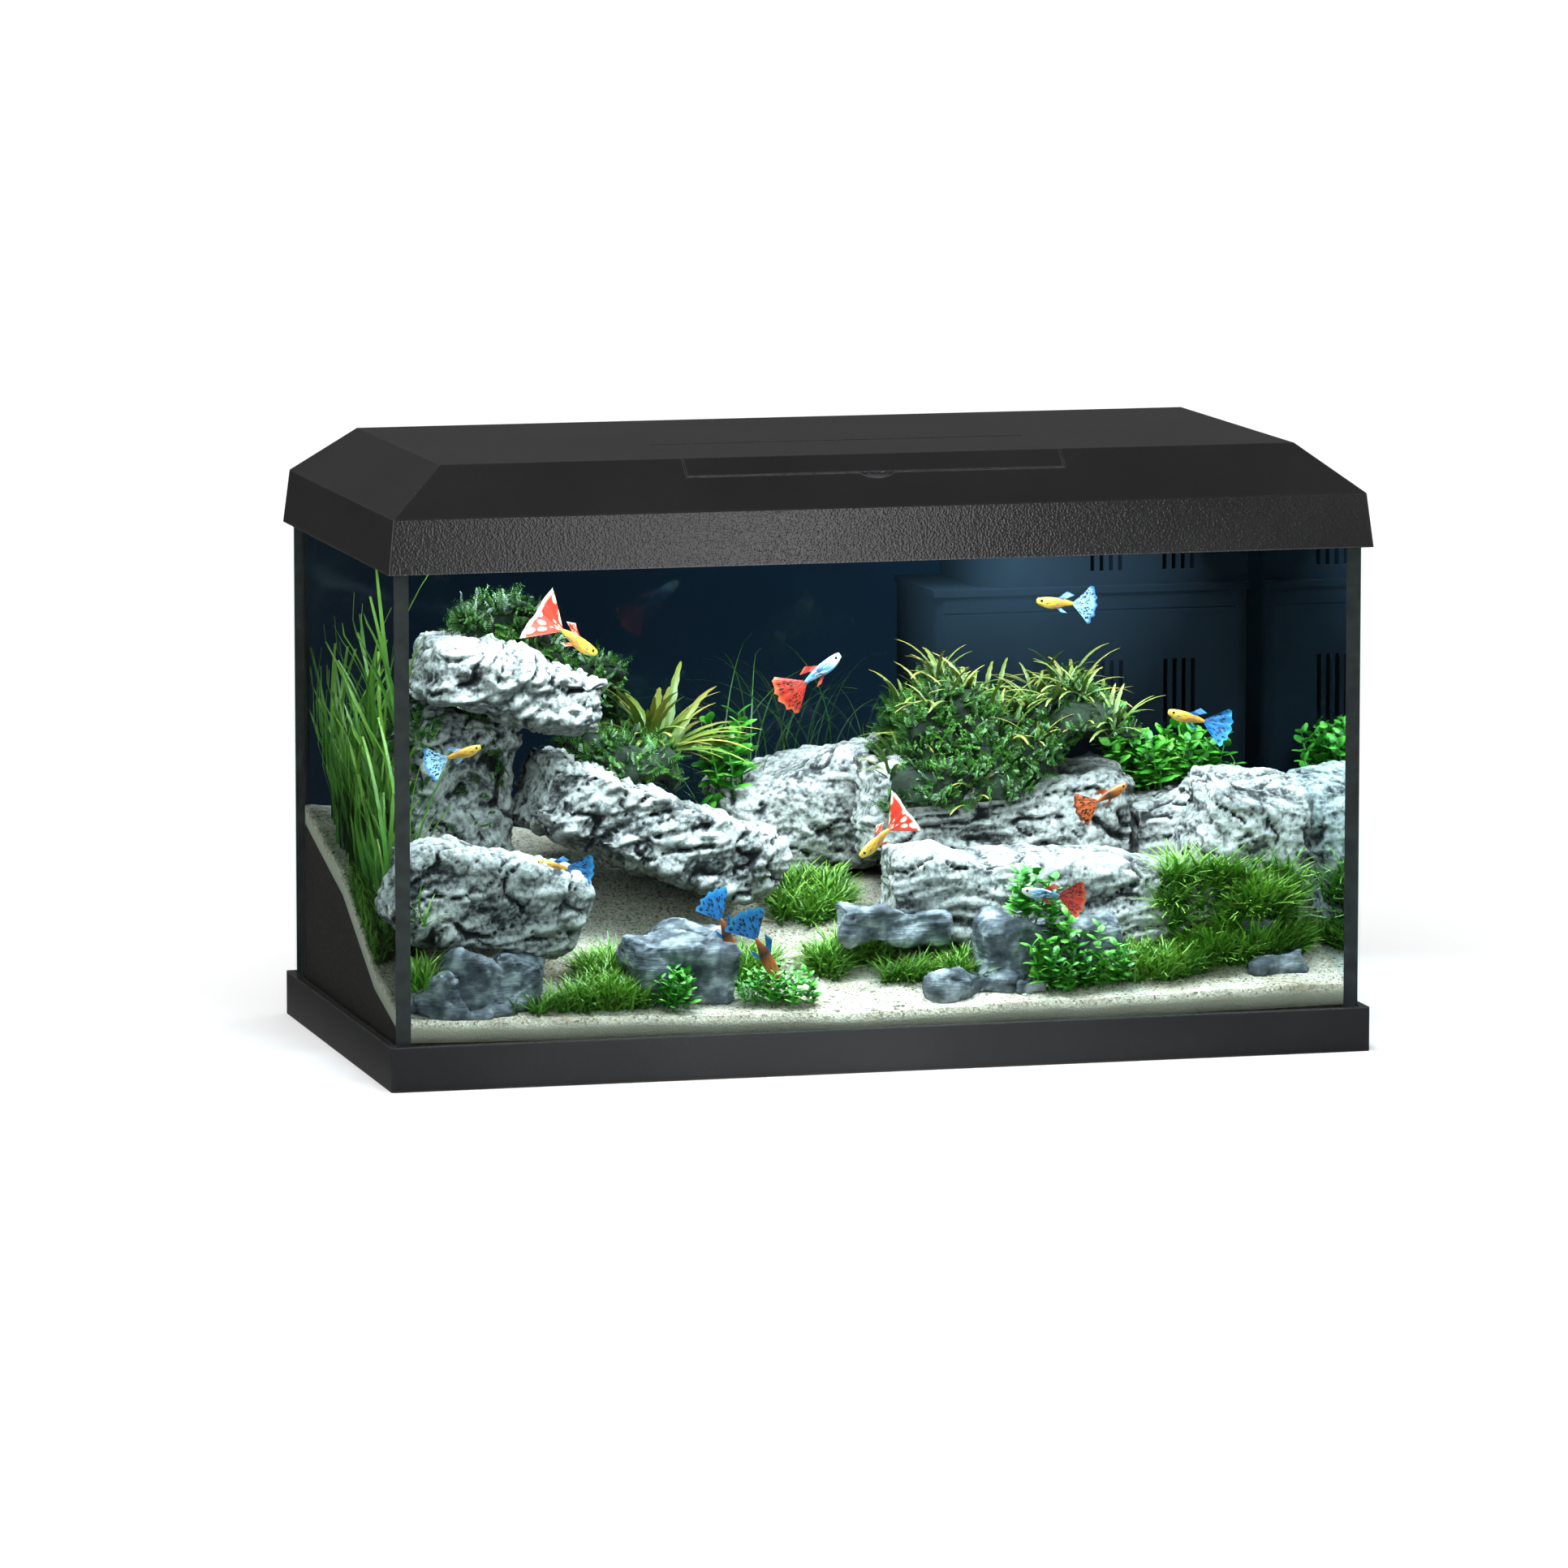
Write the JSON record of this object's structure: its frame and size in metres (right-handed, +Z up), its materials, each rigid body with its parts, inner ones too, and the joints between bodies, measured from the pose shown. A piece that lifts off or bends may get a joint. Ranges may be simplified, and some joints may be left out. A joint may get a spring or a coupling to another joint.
{
  "type": "aquarium",
  "caption": "Rectangular glass aquarium on a black base frame, under a hipped hood with a hinged feeding flap, with lamp, internal filter, heater, rockwork and plants.",
  "frame": {"origin": "middle of the base frame's underside, where it rests on furniture", "axes": "+X to the tank's right seen from the front, -Y out of the front pane, +Z up"},
  "size_m": [0.61, 0.3102, 0.37],
  "materials": {
    "black_moulding": "fine moulded grain",
    "float_glass": "clear polished float glass",
    "black_silicone": "satin",
    "dark_film": "smooth dark navy film",
    "lamp_aluminium": "anodised satin",
    "board_white": "solder mask",
    "lamp_lens": "frosted clear",
    "stainless": "brushed",
    "filter_plastic": "satin",
    "soft_rubber": "matte",
    "blue_foam": "open-cell foam",
    "black_foam": "open-cell foam",
    "white_floss": "polyester floss",
    "ceramic_shaft": "polished ceramic",
    "rotor_magnet": "ferrite",
    "heater_element": "wound element",
    "dial_plastic": "satin",
    "dark_soil": "granular",
    "pale_sand": "granular",
    "grey_stone": "weathered stone",
    "green_plant": "living leaves"
  },
  "bodies": {
    "tank": {"base_frame": "black_moulding", "bottom_pane": "float_glass", "front_pane": "float_glass", "back_pane": "float_glass", "left_pane": "float_glass", "right_pane": "float_glass", "silicone_seams": "black_silicone", "background_film": "dark_film", "filter_housing": "filter_plastic", "filter_mounts": "soft_rubber", "pump_body": "filter_plastic", "pump_feet": "soft_rubber", "pump_cover": "filter_plastic", "pump_shaft": "ceramic_shaft", "riser_pipe": "filter_plastic", "heater_tube": "float_glass", "heater_core": "heater_element", "heater_cap": "filter_plastic", "heater_clips": "filter_plastic", "soil_base": "dark_soil", "sand_bed": "pale_sand", "rock_left_slab": "grey_stone", "rock_left_back": "grey_stone", "rock_left_top": "grey_stone", "rock_left_front": "grey_stone", "rock_centre_back": "grey_stone", "rock_mound": "grey_stone", "rock_ledge": "grey_stone", "rock_right": "grey_stone", "rock_right_peak": "grey_stone", "small_stones_left": "grey_stone", "small_stones_right": "grey_stone", "moss_top": "green_plant", "moss_slab": "green_plant", "fern_left": "green_plant", "hairgrass": "green_plant", "moss_mound": "green_plant", "broadleaf_back": "green_plant", "grass_left": "green_plant", "grass_right": "green_plant", "broadleaf_front": "green_plant"},
    "hood": {"hood_shell": "black_moulding", "flap_hinge_pins": "stainless", "led_housing": "lamp_aluminium", "led_board": "board_white", "led_lens": "lamp_lens", "led_end_caps": "filter_plastic", "led_brackets": "stainless", "led_screws": "stainless", "lamp_gland": "soft_rubber"},
    "flap": {"feeding_flap": "black_moulding"},
    "basket": {"media_basket": "filter_plastic", "foam_coarse": "blue_foam", "foam_fine": "black_foam", "carbon_pad": "black_foam", "poly_pad": "white_floss"},
    "rotor": {"pump_rotor": "rotor_magnet"},
    "nozzle": {"outlet_nozzle": "filter_plastic"},
    "dial": {"heater_dial": "dial_plastic"}
  },
  "joints": [
    {"name": "hood_lift", "type": "slide", "parent": "tank", "child": "hood", "axis": [0, 0, 1], "range_m": [0, 0.2]},
    {"name": "flap_hinge", "type": "hinge", "parent": "hood", "child": "flap", "pos_m": [0, -0.0342, 0.367], "axis": [-1, 0, 0], "range_deg": [0, 95]},
    {"name": "basket_lift", "type": "slide", "parent": "tank", "child": "basket", "axis": [0, 0, 1], "range_m": [0, 0.04]},
    {"name": "rotor_spin", "type": "hinge", "parent": "tank", "child": "rotor", "pos_m": [0.252, 0.078, 0.15], "axis": [0, 0, 1], "continuous": true},
    {"name": "nozzle_swivel", "type": "hinge", "parent": "tank", "child": "nozzle", "pos_m": [0.263, 0.05, 0.296], "axis": [0, -1, 0], "range_deg": [-60, 60]},
    {"name": "dial_turn", "type": "hinge", "parent": "tank", "child": "dial", "pos_m": [0.242, 0.122, 0.31], "axis": [0, 0, 1], "range_deg": [0, 270]}
  ]
}
